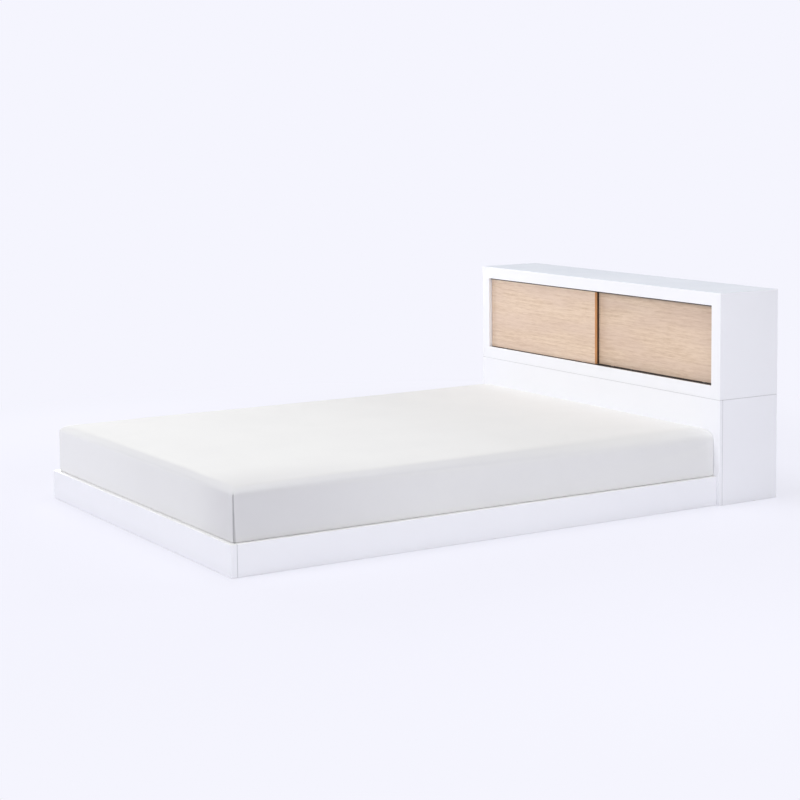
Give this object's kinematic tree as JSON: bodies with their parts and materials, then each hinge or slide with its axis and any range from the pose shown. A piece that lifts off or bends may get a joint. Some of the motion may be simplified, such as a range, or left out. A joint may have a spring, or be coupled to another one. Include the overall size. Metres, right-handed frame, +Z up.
{
  "type": "bookcase bed",
  "caption": "Low platform bed with a slatted base, a mattress and a tiered bookcase headboard that has a cabinet with sliding doors.",
  "frame": {"origin": "on the floor under the middle of the whole bed", "axes": "+X to the right of someone at the foot who faces the headboard, +Y from foot to head, +Z up"},
  "size_m": [1.584, 2.318, 0.805],
  "materials": {
    "white_board": "satin white lacquer on board",
    "back_board": "white-faced hardboard",
    "oak_face": "pale oak veneer, matte, grain level",
    "oak_edge": "warm brown edge band",
    "track_plastic": "black moulded plastic",
    "pine": "planed pine",
    "beech": "plain beech",
    "zinc_steel": "zinc plated",
    "brass": "bare",
    "nylon": "natural nylon",
    "housing_plastic": "black moulded plastic",
    "rubber": "matte black",
    "mattress_cloth": "white knitted cover"
  },
  "bodies": {
    "bed": {"footboard": "white_board", "side_rail_left": "white_board", "side_rail_right": "white_board", "base_front_panel": "white_board", "base_side_left": "white_board", "base_side_right": "white_board", "base_top_panel": "white_board", "base_partition": "white_board", "base_stretcher": "white_board", "cabinet_top": "white_board", "cabinet_bottom": "white_board", "cabinet_side_left": "white_board", "cabinet_side_right": "white_board", "cabinet_divider": "white_board", "base_back_panel": "back_board", "cabinet_back_panel": "back_board", "bottom_track": "track_plastic", "top_track": "track_plastic", "slat_01": "pine", "slat_02": "pine", "slat_03": "pine", "slat_04": "pine", "slat_05": "pine", "slat_06": "pine", "slat_07": "pine", "slat_08": "pine", "slat_09": "pine", "slat_10": "pine", "slat_ledger_left": "pine", "slat_ledger_right": "pine", "centre_beam": "pine", "dowels": "beech", "corner_brackets": "zinc_steel", "beam_hangers": "zinc_steel", "bracket_bolts": "zinc_steel", "tier_bolts": "zinc_steel", "wood_screws": "zinc_steel", "pan_head_screws": "zinc_steel", "track_screws": "zinc_steel", "cam_discs": "zinc_steel", "cam_bolts": "zinc_steel", "threaded_inserts": "brass", "floor_glides": "nylon", "door_bumpers": "rubber", "centre_feet": "rubber"},
    "door_left": {"door_left_panel": "oak_face", "door_left_edge_bands": "oak_edge", "door_left_roller_housings": "housing_plastic", "door_left_guide_pins": "nylon"},
    "door_right": {"door_right_panel": "oak_face", "door_right_edge_bands": "oak_edge", "door_right_roller_housings": "housing_plastic", "door_right_guide_pins": "nylon"},
    "left_wheel_1": {"door_left_wheel_1": "nylon"},
    "left_wheel_2": {"door_left_wheel_2": "nylon"},
    "right_wheel_1": {"door_right_wheel_1": "nylon"},
    "right_wheel_2": {"door_right_wheel_2": "nylon"},
    "mattress": {"mattress_cover": "mattress_cloth", "mattress_underside": "mattress_cloth"}
  },
  "joints": [
    {"name": "door_left_slide", "type": "slide", "parent": "bed", "child": "door_left", "axis": [1, 0, 0], "range_m": [0, 0.734]},
    {"name": "door_right_slide", "type": "slide", "parent": "bed", "child": "door_right", "axis": [1, 0, 0], "range_m": [-0.734, 0]},
    {"name": "left_wheel_1_spin", "type": "hinge", "parent": "door_left", "child": "left_wheel_1", "pos_m": [-0.65, 0.8955, 0.457], "axis": [0, 1, 0], "continuous": true},
    {"name": "left_wheel_2_spin", "type": "hinge", "parent": "door_left", "child": "left_wheel_2", "pos_m": [-0.084, 0.8955, 0.457], "axis": [0, 1, 0], "continuous": true},
    {"name": "right_wheel_1_spin", "type": "hinge", "parent": "door_right", "child": "right_wheel_1", "pos_m": [0.084, 0.9165, 0.457], "axis": [0, 1, 0], "continuous": true},
    {"name": "right_wheel_2_spin", "type": "hinge", "parent": "door_right", "child": "right_wheel_2", "pos_m": [0.65, 0.9165, 0.457], "axis": [0, 1, 0], "continuous": true},
    {"name": "mattress_lift", "type": "slide", "parent": "bed", "child": "mattress", "axis": [0, 0, 1], "range_m": [0, 0.3]}
  ],
  "couplings": [
    {"joint": "left_wheel_1_spin", "follows": "door_left_slide", "rad_per_m": 111.11},
    {"joint": "left_wheel_2_spin", "follows": "door_left_slide", "rad_per_m": 111.11},
    {"joint": "right_wheel_1_spin", "follows": "door_right_slide", "rad_per_m": 111.11},
    {"joint": "right_wheel_2_spin", "follows": "door_right_slide", "rad_per_m": 111.11}
  ]
}
